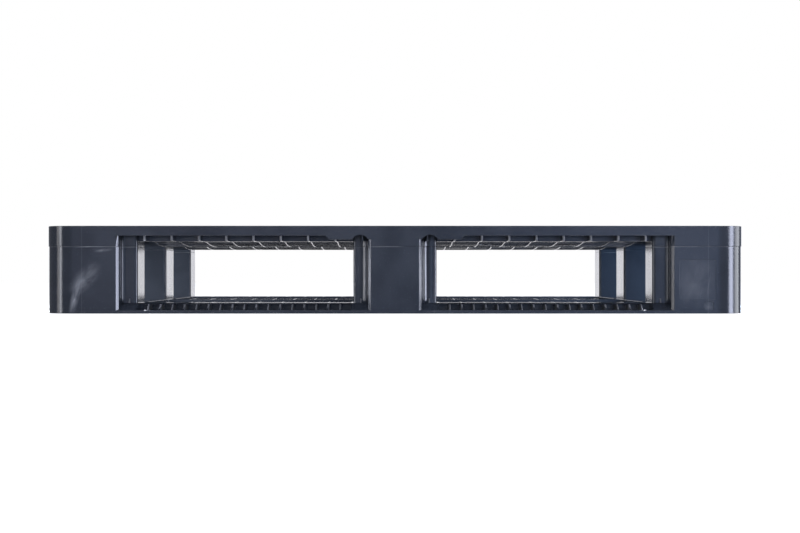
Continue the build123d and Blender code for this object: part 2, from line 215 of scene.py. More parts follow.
def noise(tree, where, scale, detail=2.0, distortion=0.0):
    node = tree.nodes.new("ShaderNodeTexNoise")
    node.inputs["Detail"].default_value = detail
    node.inputs["Distortion"].default_value = distortion
    tree.links.new(where, node.inputs["Vector"])
    feed(tree, node.inputs["Scale"], scale)
    return node.outputs["Fac"]


def ramp(tree, value, low, high):
    """Rises smoothly from 0 at low to 1 at high."""
    node = tree.nodes.new("ShaderNodeMapRange")
    node.interpolation_type = "SMOOTHSTEP"
    node.inputs["From Min"].default_value = low
    node.inputs["From Max"].default_value = high
    tree.links.new(value, node.inputs["Value"])
    return node.outputs["Result"]


def moulding_grain_group():
    """Grain of the mould's surface, the slow ripple of sink marks, and cloudy regrind."""
    inputs = [
        ("Vector", "NodeSocketVector", (0, 0, 0)),
        ("Grain scale", "NodeSocketFloat", 1400.0),
        ("Ripple scale", "NodeSocketFloat", 14.0),
        ("Ripple", "NodeSocketFloat", 6.0),
    ]
    outputs = [(label, "NodeSocketFloat") for label in ("Height", "Cloud", "Speckle")]
    group, start, end = effect_group("moulding_grain", inputs, outputs)
    where = start.outputs["Vector"]
    grain = noise(group, where, start.outputs["Grain scale"], detail=3.0)
    ripple = noise(group, where, start.outputs["Ripple scale"], detail=1.0)
    ripple = shader_math(group, "MULTIPLY", ripple, start.outputs["Ripple"])
    cloud = noise(group, where, scale=9.0, detail=4.0, distortion=0.6)
    speckle = noise(group, where, scale=420.0, detail=1.0)
    group.links.new(shader_math(group, "ADD", grain, ripple), end.inputs["Height"])
    group.links.new(ramp(group, cloud, low=0.3, high=0.7), end.inputs["Cloud"])
    group.links.new(ramp(group, speckle, low=0.66, high=0.78), end.inputs["Speckle"])
    return group


def scuff_group():
    """Pale drag marks: fine streaks in one direction, inside soft patches."""
    inputs = [
        ("Vector", "NodeSocketVector", (0, 0, 0)),
        ("Turn", "NodeSocketVector", (0, 0, 0)),
        ("Spread", "NodeSocketFloat", 0.5),
    ]
    group, start, end = effect_group("scuffs", inputs, [("Marks", "NodeSocketFloat")])
    turned = group.nodes.new("ShaderNodeVectorRotate")
    turned.rotation_type = "EULER_XYZ"
    group.links.new(start.outputs["Vector"], turned.inputs["Vector"])
    group.links.new(start.outputs["Turn"], turned.inputs["Rotation"])
    stretched = group.nodes.new("ShaderNodeMapping")
    stretched.inputs["Scale"].default_value = STREAK_STRETCH
    group.links.new(turned.outputs["Vector"], stretched.inputs["Vector"])
    streaks = noise(group, stretched.outputs["Vector"], scale=1.0, detail=3.0)
    streaks = ramp(group, streaks, low=0.56, high=0.72)
    patches = noise(group, start.outputs["Vector"], scale=11.0, detail=3.0, distortion=0.4)
    lowered = shader_math(group, "MULTIPLY", start.outputs["Spread"], PATCH_SPREAD)
    threshold = shader_math(group, "SUBTRACT", PATCH_LEVEL, lowered)
    inside = shader_math(group, "SUBTRACT", patches, threshold)
    inside = shader_math(group, "MULTIPLY", inside, PATCH_EDGE, True)
    group.links.new(shader_math(group, "MULTIPLY", streaks, inside), end.inputs["Marks"])
    return group


def place_group(tree, group, where, **values):
    """A group's node in a tree, with the inputs that are named by keyword set to their values."""
    node = tree.nodes.new("ShaderNodeGroup")
    node.node_tree = group
    tree.links.new(where, node.inputs["Vector"])
    for label, value in values.items():
        node.inputs[label.replace("_", " ")].default_value = value
    return node


def near(tree, where, centre, reach):
    """1 at a point of the object, falling to 0 at a distance."""
    gap = tree.nodes.new("ShaderNodeVectorMath")
    gap.operation = "DISTANCE"
    gap.inputs[1].default_value = centre
    tree.links.new(where, gap.inputs[0])
    return ramp(tree, gap.outputs["Value"], low=reach, high=0.0)


def smear(tree, where, centre, lean, length, width):
    """A soft drag mark on an upright face: an oval leaning about Y, broken up by a cloud."""
    moved = tree.nodes.new("ShaderNodeVectorMath")
    moved.operation = "SUBTRACT"
    moved.inputs[1].default_value = centre
    tree.links.new(where, moved.inputs[0])
    turned = tree.nodes.new("ShaderNodeVectorRotate")
    turned.rotation_type = "Y_AXIS"
    turned.inputs["Angle"].default_value = lean
    tree.links.new(moved.outputs["Vector"], turned.inputs["Vector"])
    scaled = tree.nodes.new("ShaderNodeVectorMath")
    scaled.operation = "MULTIPLY"
    scaled.inputs[1].default_value = (1 / width, 100, 1 / length)
    tree.links.new(turned.outputs["Vector"], scaled.inputs[0])
    oval = near(tree, scaled.outputs["Vector"], (0, 0, 0), 1.0)
    cloud = noise(tree, scaled.outputs["Vector"], scale=1.3, detail=5.0, distortion=0.3)
    return shader_math(tree, "MULTIPLY", oval, ramp(tree, cloud, low=0.22, high=0.78))


def thin_line(tree, value, place):
    """1 where a value is at a place, falling to 0 within the reach of a line."""
    gap = shader_math(tree, "ABSOLUTE", shader_math(tree, "SUBTRACT", value, place), 0)
    gap = shader_math(tree, "MULTIPLY", gap, 1 / LINE_REACH)
    return shader_math(tree, "SUBTRACT", 1.0, gap, True)


def painted_corner_highlights(tree, where):
    """Painted highlights: fine pale upright lines where each rounded corner starts."""
    axes = split_axes(tree, where)
    lines = []
    for axis, place in PAINTED_CORNER_HIGHLIGHTS:
        out = shader_math(tree, "ABSOLUTE", axes[axis], 0)
        lines.append(thin_line(tree, out, place))
    return shader_math(tree, "MAXIMUM", *lines)


def painted_seam_highlight(tree, where):
    """Painted highlight: a pale line where the two mouldings meet, broken into patches."""
    line = thin_line(tree, split_axes(tree, where)["Z"], SEAM_HEIGHT)
    patches = ramp(tree, noise(tree, where, SEAM_PATCHES), low=0.35, high=0.6)
    return shader_math(tree, "MULTIPLY", line, patches)


def fields(tree, where):
    """Dull fields on the front right block and, half a turn round, on the back left one."""
    axes = split_axes(tree, where)
    side = shader_math(tree, "MULTIPLY", shader_math(tree, "SIGN", axes["Y"], 0), -1.0)
    along = shader_math(tree, "MULTIPLY", axes["X"], side)
    masks = []
    for centre_x, half_x, centre_z, half_z in FIELDS:
        mask = 1.0
        for value, centre, half in ((along, centre_x, half_x), (axes["Z"], centre_z, half_z)):
            gap = shader_math(tree, "ABSOLUTE", shader_math(tree, "SUBTRACT", value, centre), 0)
            inside = shader_math(tree, "SUBTRACT", half, gap)
            inside = shader_math(tree, "MULTIPLY", inside, FIELD_EDGE, True)
            mask = shader_math(tree, "MULTIPLY", inside, mask)
        masks.append(mask)
    return shader_math(tree, "MAXIMUM", *masks)


def painted_lines_and_fields_group():
    """Marks on a plastic: painted highlight lines where the corners start and along the seam, and
    dull fields.

    The marks are bounded in two directions at most, so they also fall on faces further in.
    """
    inputs = [("Vector", "NodeSocketVector", (0, 0, 0))]
    group, start, end = effect_group("mould_marks", inputs, [("Marks", "NodeSocketFloat")])
    where = start.outputs["Vector"]
    # Painted highlights along the corners and the seam, then the dull fields.
    corners = shader_math(group, "MULTIPLY", painted_corner_highlights(group, where), PAINTED_CORNER_HIGHLIGHT_STRENGTH)
    seam = shader_math(group, "MULTIPLY", painted_seam_highlight(group, where), PAINTED_SEAM_HIGHLIGHT_STRENGTH)
    dull = shader_math(group, "MULTIPLY", fields(group, where), FIELD_STRENGTH)
    lines = shader_math(group, "ADD", corners, seam)
    group.links.new(shader_math(group, "ADD", lines, dull), end.inputs["Marks"])
    return group


def plastic_surface_group():
    """Colour, roughness and grain of a moulded plastic, paler and duller where it is marked: by
    scuffs, and by painted highlight lines.
    """
    inputs = [
        ("Vector", "NodeSocketVector", (0, 0, 0)),
        ("Colour", "NodeSocketColor", (0, 0, 0, 1)),
        ("Cloudy colour", "NodeSocketColor", (0, 0, 0, 1)),
        ("Speckle colour", "NodeSocketColor", (0, 0, 0, 1)),
        ("Roughness", "NodeSocketFloat", 0.1),
        ("Marks", "NodeSocketFloat", 0.0),
    ]
    outputs = [
        ("Colour", "NodeSocketColor"),
        ("Roughness", "NodeSocketFloat"),
        ("Normal", "NodeSocketVector"),
    ]
    group, start, end = effect_group("plastic_surface", inputs, outputs)
    given = start.outputs
    grain = place_group(group, moulding_grain, given["Vector"]).outputs
    clouded = blend(group, grain["Cloud"], given["Colour"], given["Cloudy colour"])
    speckle = shader_math(group, "MULTIPLY", grain["Speckle"], SPECKLE_STRENGTH)
    speckled = blend(group, speckle, clouded, given["Speckle colour"])
    # Marks turn the colour pale: real scuffs and drag marks, and the painted highlight lines.
    marked = blend(group, given["Marks"], speckled, (*SCUFF_AND_PAINTED_HIGHLIGHT_COLOUR, 1))
    group.links.new(marked, end.inputs["Colour"])
    dulled = shader_math(group, "MULTIPLY", grain["Cloud"], CLOUD_DULLING)
    dulled = shader_math(group, "ADD", dulled, given["Roughness"])
    worn = shader_math(group, "MULTIPLY", given["Marks"], MARK_DULLING)
    group.links.new(shader_math(group, "ADD", dulled, worn, True), end.inputs["Roughness"])
    grained = bump(group, grain["Height"], GRAIN_STRENGTH, GRAIN_DEPTH)
    group.links.new(grained, end.inputs["Normal"])
    return group


def moulded_plastic(
    name, colour, roughness, scuff_spread, scuff_turn, scuffs_above=-1.0, marks=(), smears=()
):
    """Semi-gloss moulded plastic.

    marks are (centre, reach, strength, turn) for streaks in one known place; smears are
    (centre, lean, length, width, strength) for soft drag marks.
    """
    material = bpy.data.materials.new(name)
    material.use_nodes = True
    tree = material.node_tree
    shader = tree.nodes["Principled BSDF"]
    where = tree.nodes.new("ShaderNodeTexCoord").outputs["Object"]
    worn = place_group(tree, scuffs, where, Turn=scuff_turn, Spread=scuff_spread).outputs["Marks"]
    high = shader_math(tree, "GREATER_THAN", split_axes(tree, where)["Z"], scuffs_above)
    worn = shader_math(tree, "MULTIPLY", worn, shader_math(tree, "MULTIPLY", high, SCUFF_STRENGTH))
    for centre, reach, strength, turn in marks:
        streaks = place_group(tree, scuffs, where, Turn=turn, Spread=MARK_SPREAD).outputs["Marks"]
        inside = shader_math(tree, "MULTIPLY", near(tree, where, centre, reach), strength)
        worn = shader_math(tree, "ADD", worn, shader_math(tree, "MULTIPLY", streaks, inside), True)
    for centre, lean, length, width, strength in smears:
        soft = smear(tree, where, centre, lean, length, width)
        worn = shader_math(tree, "ADD", worn, shader_math(tree, "MULTIPLY", soft, strength), True)
    # Painted highlights: the pale lines at the corners and the seam join the marks here, with the
    # dull fields.
    moulded = place_group(tree, mould_marks, where).outputs["Marks"]
    surface = place_group(
        tree,
        plastic_surface,
        where,
        Colour=(*colour, 1),
        Cloudy_colour=(*[c * CLOUD_GAIN + CLOUD_LIFT for c in colour], 1),
        Speckle_colour=(*[c * SPECKLE_GAIN + SPECKLE_LIFT for c in colour], 1),
        Roughness=roughness,
    )
    tree.links.new(shader_math(tree, "ADD", worn, moulded, True), surface.inputs["Marks"])
    tree.links.new(surface.outputs["Colour"], shader.inputs["Base Color"])
    tree.links.new(surface.outputs["Roughness"], shader.inputs["Roughness"])
    tree.links.new(surface.outputs["Normal"], shader.inputs["Normal"])
    shader.inputs["IOR"].default_value = PLASTIC_IOR
    return material


moulding_grain = moulding_grain_group()
scuffs = scuff_group()
mould_marks = painted_lines_and_fields_group()
plastic_surface = plastic_surface_group()

base_plastic = moulded_plastic(
    "base_plastic",
    BASE_COLOUR,
    roughness=0.1,
    scuff_spread=0.4,
    scuff_turn=(0, 0.6, 0),
    marks=[
        ((-0.52, -0.499, 0.112), 0.035, 0.35, (0, 0.05, 0)),
        ((0.52, -0.499, 0.055), 0.04, 0.12, (0, 1.4, 0)),
    ],
    smears=[
        ((-0.546, -0.499, 0.028), -0.25, 0.04, 0.009, 0.7),
        ((-0.529, -0.499, 0.06), -0.75, 0.042, 0.02, 0.45),
        ((-0.498, -0.499, 0.108), -1.45, 0.02, 0.004, 0.4),
        ((0.514, -0.498, 0.055), -0.3, 0.06, 0.04, 0.16),
        ((0.536, -0.498, 0.013), 0.0, 0.011, 0.011, 0.2),
    ],
)
base = moulded_copy("base_frame", "base_moulding", BASE_ARRIS, OUTER_ARRIS, 2)
base.data.materials.clear()
base.data.materials.append(base_plastic)
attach(base, "root")
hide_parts("base_frame")

# -------------------------------------------------------------------------------------------------
# Fine ribs of the base: one across the middle of every rail pocket, so that the ribs come every
# 21 mm, a crest on each main rib along the edges and a small fin in each notch beside a block. They
# are part of the base moulding. The ribs along the edges, the crests and the fins are pale: a
# painted highlight for the light that their rims catch.

RIB = 0.002
RIB_TOP = 0.0176
RAIL_FLOOR = 0.0038
SLOPE_RUN = 0.0245
SLOPE_FOOT = 0.0048
COVER_UNDERSIDE = 0.0156
POCKET_PITCH = 0.042
MAIN_RIB = 0.0026
WALL = 0.003
WINDOW_X = (0.074, 0.443)
WINDOW_Y = (0.064, 0.364)
BASE_X = 0.599
BASE_Y = 0.499
COVERED = 0.058
NOTCH_X = (0.059, 0.4585)
NOTCH_Y = (0.049, 0.3795)
NOTCH_DEPTH = 0.041
RIM_BEND = 0.2
SLOPE_LIFT = 0.0004
POCKET_END = 0.001
ONE_ROW = (0, 0.1)
OVERLAP = 0.0008
RIB_ARRIS = 0.0004
CREST = 1.45
FIN_FOOT = 0.0165
FIN_TOP = 0.026
FIN_TIP = (-0.004, 0.025)
FIN_REACH = 0.012
# Pale colour of the edge ribs, crests, fins and teeth: a painted highlight for the light their rims
# catch.
PAINTED_HIGHLIGHT_COLOUR = (0.09, 0.093, 0.102)


def plate(name, outline, thickness, arris):
    """A thin plate in the YZ plane: an outline pulled both ways along X, with its edges rounded."""
    solid = bmesh.new()
    face = solid.faces.new([solid.verts.new((-thickness / 2, y, z)) for y, z in outline])
    pulled = bmesh.ops.extrude_face_region(solid, geom=[face])
    moved = [v for v in pulled["geom"] if isinstance(v, bmesh.types.BMVert)]
    bmesh.ops.translate(solid, verts=moved, vec=(thickness, 0, 0))
    bmesh.ops.recalc_face_normals(solid, faces=solid.faces)
    rims = [e for e in solid.edges if e.calc_face_angle(0) > RIM_BEND]
    bmesh.ops.bevel(solid, geom=rims, offset=arris, segments=2, profile=0.5, affect="EDGES")
    mesh = bpy.data.meshes.new(name)
    solid.to_mesh(mesh)
    solid.free()
    template = bpy.data.objects.new(name, mesh)
    return template


def instances_tree():
    """Geometry Nodes: a copy of a template on every mark, turned about Z and stretched."""
    tree = bpy.data.node_groups.new("copies_on_marks", "GeometryNodeTree")
    sockets = (
        ("Marks", "INPUT", "NodeSocketGeometry"),
        ("Template", "INPUT", "NodeSocketObject"),
        ("Thickness", "INPUT", "NodeSocketFloat"),
        ("Material", "INPUT", "NodeSocketMaterial"),
        ("Geometry", "OUTPUT", "NodeSocketGeometry"),
    )
    for label, side, kind in sockets:
        tree.interface.new_socket(name=label, in_out=side, socket_type=kind)
    start = tree.nodes.new("NodeGroupInput")
    end = tree.nodes.new("NodeGroupOutput")
    template = tree.nodes.new("GeometryNodeObjectInfo")
    turn, length = (tree.nodes.new("GeometryNodeInputNamedAttribute") for _ in range(2))
    for attribute, label in ((turn, "turn"), (length, "length")):
        attribute.data_type = "FLOAT"
        attribute.inputs["Name"].default_value = label
    angles = tree.nodes.new("ShaderNodeCombineXYZ")
    size = tree.nodes.new("ShaderNodeCombineXYZ")
    size.inputs["Z"].default_value = 1.0
    copies = tree.nodes.new("GeometryNodeInstanceOnPoints")
    real = tree.nodes.new("GeometryNodeRealizeInstances")
    finish = tree.nodes.new("GeometryNodeSetMaterial")
    wires = (
        (start.outputs["Marks"], copies.inputs["Points"]),
        (start.outputs["Template"], template.inputs["Object"]),
        (template.outputs["Geometry"], copies.inputs["Instance"]),
        (turn.outputs["Attribute"], angles.inputs["Z"]),
        (angles.outputs["Vector"], copies.inputs["Rotation"]),
        (start.outputs["Thickness"], size.inputs["X"]),
        (length.outputs["Attribute"], size.inputs["Y"]),
        (size.outputs["Vector"], copies.inputs["Scale"]),
        (copies.outputs["Instances"], real.inputs["Geometry"]),
        (real.outputs["Geometry"], finish.inputs["Geometry"]),
        (start.outputs["Material"], finish.inputs["Material"]),
        (finish.outputs["Geometry"], end.inputs["Geometry"]),
    )
    for source, target in wires:
        tree.links.new(source, target)
    return tree


def copies_on_marks(name, template, marks, material, thickness=1.0):
    """A plain mesh of a template repeated on marks, each an (x, y, z, turn, length)."""
    mesh = bpy.data.meshes.new(name + "_marks")
    mesh.from_pydata([mark[:3] for mark in marks], [], [])
    for place, label in ((3, "turn"), (4, "length")):
        attribute = mesh.attributes.new(label, "FLOAT", "POINT")
        attribute.data.foreach_set("value", [mark[place] for mark in marks])
    piece = link(bpy.data.objects.new(name, mesh))
    modifier = piece.modifiers.new("copies", "NODES")
    modifier.node_group = marks_tree
    sockets = {item.name: item.identifier for item in marks_tree.interface.items_tree}
    modifier[sockets["Template"]] = template
    modifier[sockets["Thickness"]] = thickness
    modifier[sockets["Material"]] = material
    return settle(piece)


def pocket_middles(x0, x1, y0, y1, rows, along_x):
    """Middle of each pocket in a stretch of rail, with the width a rib across it has to bridge."""
    if along_x:
        across, down = round((x1 - x0) / POCKET_PITCH), rows
    else:
        across, down = rows, round((y1 - y0) / POCKET_PITCH)
    step_x = (x1 - x0 + MAIN_RIB) / across
    step_y = (y1 - y0 + MAIN_RIB) / down
    width = (step_y if along_x else step_x) - MAIN_RIB
    for i in range(across):
        for j in range(down):
            x = x0 - MAIN_RIB / 2 + (i + 0.5) * step_x
            y = y0 - MAIN_RIB / 2 + (j + 0.5) * step_y
            yield (x, y), width


def open_rib_marks():
    """Marks for the ribs across the open-topped pockets, in all four quarters."""
    x0, x1 = WINDOW_X[0] + WALL, WINDOW_X[1] - WALL
    y0, y1 = WINDOW_Y[0] + WALL, WINDOW_Y[1] - WALL
    stretches = (
        (x0, x1, WINDOW_Y[1] + WALL, BASE_Y - COVERED - WALL, 2, True),
        (WINDOW_X[1] + WALL, BASE_X - COVERED - WALL, y0, y1, 2, False),
        (x0, x1, WALL / 2, WINDOW_Y[0] - WALL, 2, True),
        (WALL / 2, WINDOW_X[0] - WALL, y0, y1, 2, False),
    )
    for stretch in stretches:
        turn = 0 if stretch[5] else math.pi / 2
        for (x, y), width in pocket_middles(*stretch):
            for i in (-1, 1):
                for j in (-1, 1):
                    yield (i * x, j * y, 0, turn, width + 2 * OVERLAP)


def edge_marks(run_x, run_y, inset, length=1.0):
    """Marks along all four edges, a distance in, with a template's +Y pointing inwards."""
    for x in run_x:
        for i in (-1, 1):
            yield (i * x, -BASE_Y + inset, 0, 0, length)
            yield (i * x, BASE_Y - inset, 0, math.pi, length)
    for y in run_y:
        for j in (-1, 1):
            yield (-BASE_X + inset, j * y, 0, -math.pi / 2, length)
            yield (BASE_X - inset, j * y, 0, math.pi / 2, length)


# A pale plastic for the ribs' rims: its colour is a painted highlight, with scuffs on top.
painted_highlight_plastic = moulded_plastic(
    "fork_worn_plastic", PAINTED_HIGHLIGHT_COLOUR, roughness=0.3, scuff_spread=0.5, scuff_turn=(0, 0.2, 0)
)
marks_tree = instances_tree()

cross_outline = [(-0.5, RAIL_FLOOR), (0.5, RAIL_FLOOR), (0.5, RIB_TOP), (-0.5, RIB_TOP)]
cross_rib = plate("cross_rib", cross_outline, RIB, RIB_ARRIS)
open_ribs = copies_on_marks("rail_cross_ribs", cross_rib, list(open_rib_marks()), base_plastic)

slope_rate = (RIB_TOP + SLOPE_LIFT - SLOPE_FOOT) / SLOPE_RUN
slope_start = WALL - OVERLAP
slope_end = (COVER_UNDERSIDE - SLOPE_FOOT) / slope_rate
edge_outline = [
    (slope_start, RAIL_FLOOR),
    (COVERED, RAIL_FLOOR),
    (COVERED, COVER_UNDERSIDE),
    (slope_end, COVER_UNDERSIDE),
    (slope_start, SLOPE_FOOT + slope_rate * slope_start),
]
edge_rib = plate("edge_rib", edge_outline, RIB, RIB_ARRIS)
run_x = (WINDOW_X[0] + POCKET_END, WINDOW_X[1] - POCKET_END)
run_y = (WINDOW_Y[0] + POCKET_END, WINDOW_Y[1] - POCKET_END)
rib_places = [
    [middle[0] for middle, _ in pocket_middles(*run_x, *ONE_ROW, 1, True)],
    [middle[1] for middle, _ in pocket_middles(*ONE_ROW, *run_y, 1, False)],
]
rib_marks = list(edge_marks(*rib_places, 0))
edge_ribs = copies_on_marks("rail_edge_ribs", edge_rib, rib_marks, painted_highlight_plastic)


def main_rib_places(start, end):
    """Places of the base's own ribs along a rail, which come between its pockets."""
    count = round((end - start) / POCKET_PITCH)
    step = (end - start + MAIN_RIB) / count
    return [start - MAIN_RIB / 2 + k * step for k in range(1, count)]


crest_marks = list(edge_marks(main_rib_places(*run_x), main_rib_places(*run_y), 0))
crests = copies_on_marks("rail_rib_crests", edge_rib, crest_marks, painted_highlight_plastic, CREST)

fin_outline = [(0, FIN_FOOT), (0, FIN_TOP), FIN_TIP, (-FIN_REACH, FIN_FOOT)]
fin = plate("notch_fin", fin_outline, RIB, RIB_ARRIS)
fin_marks = list(edge_marks(NOTCH_X, NOTCH_Y, NOTCH_DEPTH))
fins = copies_on_marks("notch_fins", fin, fin_marks, painted_highlight_plastic)

for ribs in (open_ribs, edge_ribs, crests, fins):
    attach(ribs, "root")

# -------------------------------------------------------------------------------------------------
# Deck moulding: the load surface, its skirt, its ribbed underside and the stubs that stand on the
# blocks. It is moulded in one shot in the same plastic, and goods and forks scuff its top.

DECK_ARRIS = 0.0005
SCUFFS_ABOVE = 0.1488
DECK_COLOUR = (0.0165, 0.0196, 0.0265)

deck_plastic = moulded_plastic(
    "deck_plastic",
    DECK_COLOUR,
    roughness=0.12,
    scuff_spread=0.55,
    scuff_turn=(0, 0, 0.4),
    scuffs_above=SCUFFS_ABOVE,
)
deck = moulded_copy("top_deck", "deck_moulding", DECK_ARRIS, OUTER_ARRIS, 1)
deck.data.materials.clear()
deck.data.materials.append(deck_plastic)
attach(deck, "root")
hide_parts("top_deck")

# The deck's ribs end in small teeth just under the skirt, over every fork opening. Their pale
# colour is a painted highlight for the light that their ends catch.
TOOTH = 0.003
TOOTH_ARRIS = 0.0009
TOOTH_FRONT = 0.0012
TOOTH_BACK = 0.012
TOOTH_LOW = 0.1243
TOOTH_HIGH = 0.1336
FIRST_TOOTH_X = 0.1021
TOOTH_PITCH_X = 0.0466
TEETH_X = 8
FIRST_TOOTH_Y = 0.0965
TOOTH_PITCH_Y = 0.047
TEETH_Y = 6

tooth_outline = [
    (TOOTH_FRONT, TOOTH_LOW),
    (TOOTH_BACK, TOOTH_LOW),
    (TOOTH_BACK, TOOTH_HIGH),
    (TOOTH_FRONT, TOOTH_HIGH),
]
tooth = plate("rib_tooth", tooth_outline, TOOTH, TOOTH_ARRIS)
teeth_x = [FIRST_TOOTH_X + k * TOOTH_PITCH_X for k in range(TEETH_X)]
teeth_y = [FIRST_TOOTH_Y + k * TOOTH_PITCH_Y for k in range(TEETH_Y)]
tooth_marks = list(edge_marks(teeth_x, teeth_y, 0))
teeth = copies_on_marks("deck_rib_teeth", tooth, tooth_marks, painted_highlight_plastic)
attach(teeth, "root")

# -------------------------------------------------------------------------------------------------
# Reinforcement tubes: square welded steel tube, galvanised, cut to length and pushed into the
# deck's channels from the side.

ZINC = (0.52, 0.53, 0.54)
CRYSTAL_GAIN = 1.4
CRYSTAL_DULLING = 0.15
CRYSTAL_STRENGTH = 0.15
CRYSTAL_DEPTH = 0.0001


def finish_nodes(prefix, material):
    """Gives a material to every CAD node whose name starts the same way."""
    for name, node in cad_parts.items():
        if name.startswith(prefix):
            node.data.materials.clear()
            node.data.materials.append(material)


def crystals_group():
    """Patchy crystals of a zinc coat, or streaks where they are stretched, and their relief."""
    inputs = [
        ("Vector", "NodeSocketVector", (0, 0, 0)),
        ("Stretch", "NodeSocketVector", (1, 1, 1)),
        ("Scale", "NodeSocketFloat", 160.0),
    ]
    outputs = [("Grey", "NodeSocketFloat"), ("Normal", "NodeSocketVector")]
    group, start, end = effect_group("crystals", inputs, outputs)
    stretched = group.nodes.new("ShaderNodeMapping")
    group.links.new(start.outputs["Vector"], stretched.inputs["Vector"])
    group.links.new(start.outputs["Stretch"], stretched.inputs["Scale"])
    cells = group.nodes.new("ShaderNodeTexVoronoi")
    group.links.new(stretched.outputs["Vector"], cells.inputs["Vector"])
    group.links.new(start.outputs["Scale"], cells.inputs["Scale"])
    grey = shader_math(group, "MULTIPLY", cells.outputs["Distance"], CRYSTAL_GAIN, True)
    group.links.new(grey, end.inputs["Grey"])
    relief = bump(group, grey, CRYSTAL_STRENGTH, CRYSTAL_DEPTH)
    group.links.new(relief, end.inputs["Normal"])
    return group


def metal(name, colour, roughness, spangle_scale, spangle, streak):
    """Plated metal: crystals or streaks vary its colour and gloss."""
    material = bpy.data.materials.new(name)
    material.use_nodes = True
    tree = material.node_tree
    shader = tree.nodes["Principled BSDF"]
    where = tree.nodes.new("ShaderNodeTexCoord").outputs["Object"]
    coat = place_group(tree, crystals, where, Stretch=streak, Scale=spangle_scale).outputs
    dark = (*[c * (1 - spangle) for c in colour], 1)
    light = (*[min(1, c * (1 + spangle)) for c in colour], 1)
    tree.links.new(blend(tree, coat["Grey"], dark, light), shader.inputs["Base Color"])
    gloss = shader_math(tree, "MULTIPLY", coat["Grey"], CRYSTAL_DULLING)
    tree.links.new(shader_math(tree, "ADD", gloss, roughness), shader.inputs["Roughness"])
    tree.links.new(coat["Normal"], shader.inputs["Normal"])
    shader.inputs["Metallic"].default_value = 1.0
    return material


crystals = crystals_group()
galvanised = metal("galvanised_steel", ZINC, 0.38, 160.0, 0.25, (0.35, 1, 1))
finish_nodes("steel_tube", galvanised)

# -------------------------------------------------------------------------------------------------
# Tube plugs: black moulded caps pressed into the tube ends, flush with the deck's short sides.

PLUG_COLOUR = (0.012, 0.012, 0.013)

plug_plastic = moulded_plastic(
    "plug_plastic", PLUG_COLOUR, roughness=0.34, scuff_spread=0.5, scuff_turn=(0, 0.3, 0.9)
)
finish_nodes("tube_plug", plug_plastic)

# -------------------------------------------------------------------------------------------------
# Block screws: zinc-plated thread-forming screws, four up through each block into the deck's stubs.

PLATING = (0.66, 0.63, 0.52)

plated = metal("plated_steel", PLATING, 0.26, 900.0, 0.12, (1, 1, 0.3))
finish_nodes("block_screws", plated)

# -------------------------------------------------------------------------------------------------
# Room: a pale floor that runs into a bright backdrop, with soft lights at both sides, overhead and
# in front. What shiny faces mirror is set apart from what the camera sees: the room is dim straight
# behind the camera and brighter beside it, and the floor isn't mirrored.

CAMERA_BACK = 3.636
CAMERA_HEIGHT = 0.0685
LENS = 82.7
FLOOR_BOUNCE = (0.3, 0.3, 0.31, 1)
FLOOR_GLOW = 0.92
BACKDROP = (1.25, 1.25, 1.32, 1)
SIDES = (0.16, 0.17, 0.2, 1)
FRONT_LEFT = (0.36, 0.38, 0.52, 1)
FRONT_MIDDLE = (0.08, 0.1, 0.15, 1)
FRONT_RIGHT = (0.5, 0.66, 1.1, 1)
BELOW = (1.0, 1.0, 1.03, 1)
FLOOR_HALF = 9
FLOOR_DROP = 0.0004
FLOOR_ROUGHNESS = 0.8
FRONT_FROM = 0.28
FRONT_TO = 0.8
FRONT_STOPS = ((0.42, FRONT_LEFT), (0.5, FRONT_MIDDLE), (0.57, FRONT_RIGHT))
BACKDROP_FROM = 0.88
BACKDROP_TO = 0.985
BELOW_FROM = -0.25
BELOW_TO = -0.6
SHIFT_X = 0.00625
SHIFT_Y = 0.00875

bpy.context.scene.view_settings.view_transform = "Standard"

floor_mesh = bpy.data.meshes.new("floor")
corners = [(x * FLOOR_HALF, y * FLOOR_HALF, 0) for x, y in ((-1, -1), (1, -1), (1, 1), (-1, 1))]
floor_mesh.from_pydata(corners, [], [(0, 1, 2, 3)])
floor = link(bpy.data.objects.new("floor", floor_mesh))
floor.location.z = -FLOOR_DROP
pale = bpy.data.materials.new("pale_floor")
pale.use_nodes = True
floor_tree = pale.node_tree
floor_shader = floor_tree.nodes["Principled BSDF"]
floor_shader.inputs["Base Color"].default_value = FLOOR_BOUNCE
floor_shader.inputs["Roughness"].default_value = FLOOR_ROUGHNESS
seen = floor_tree.nodes.new("ShaderNodeEmission")
seen.inputs["Strength"].default_value = FLOOR_GLOW
lit = floor_tree.nodes.new("ShaderNodeAddShader")
floor_tree.links.new(floor_shader.outputs["BSDF"], lit.inputs[0])
floor_tree.links.new(seen.outputs["Emission"], lit.inputs[1])
split = floor_tree.nodes.new("ShaderNodeMixShader")
to_camera = floor_tree.nodes.new("ShaderNodeLightPath").outputs["Is Camera Ray"]
floor_tree.links.new(to_camera, split.inputs[0])
floor_tree.links.new(floor_shader.outputs["BSDF"], split.inputs[1])
floor_tree.links.new(lit.outputs["Shader"], split.inputs[2])
floor_output = floor_tree.nodes["Material Output"]
floor_tree.links.new(split.outputs["Shader"], floor_output.inputs["Surface"])
floor.data.materials.append(pale)
floor.visible_glossy = False

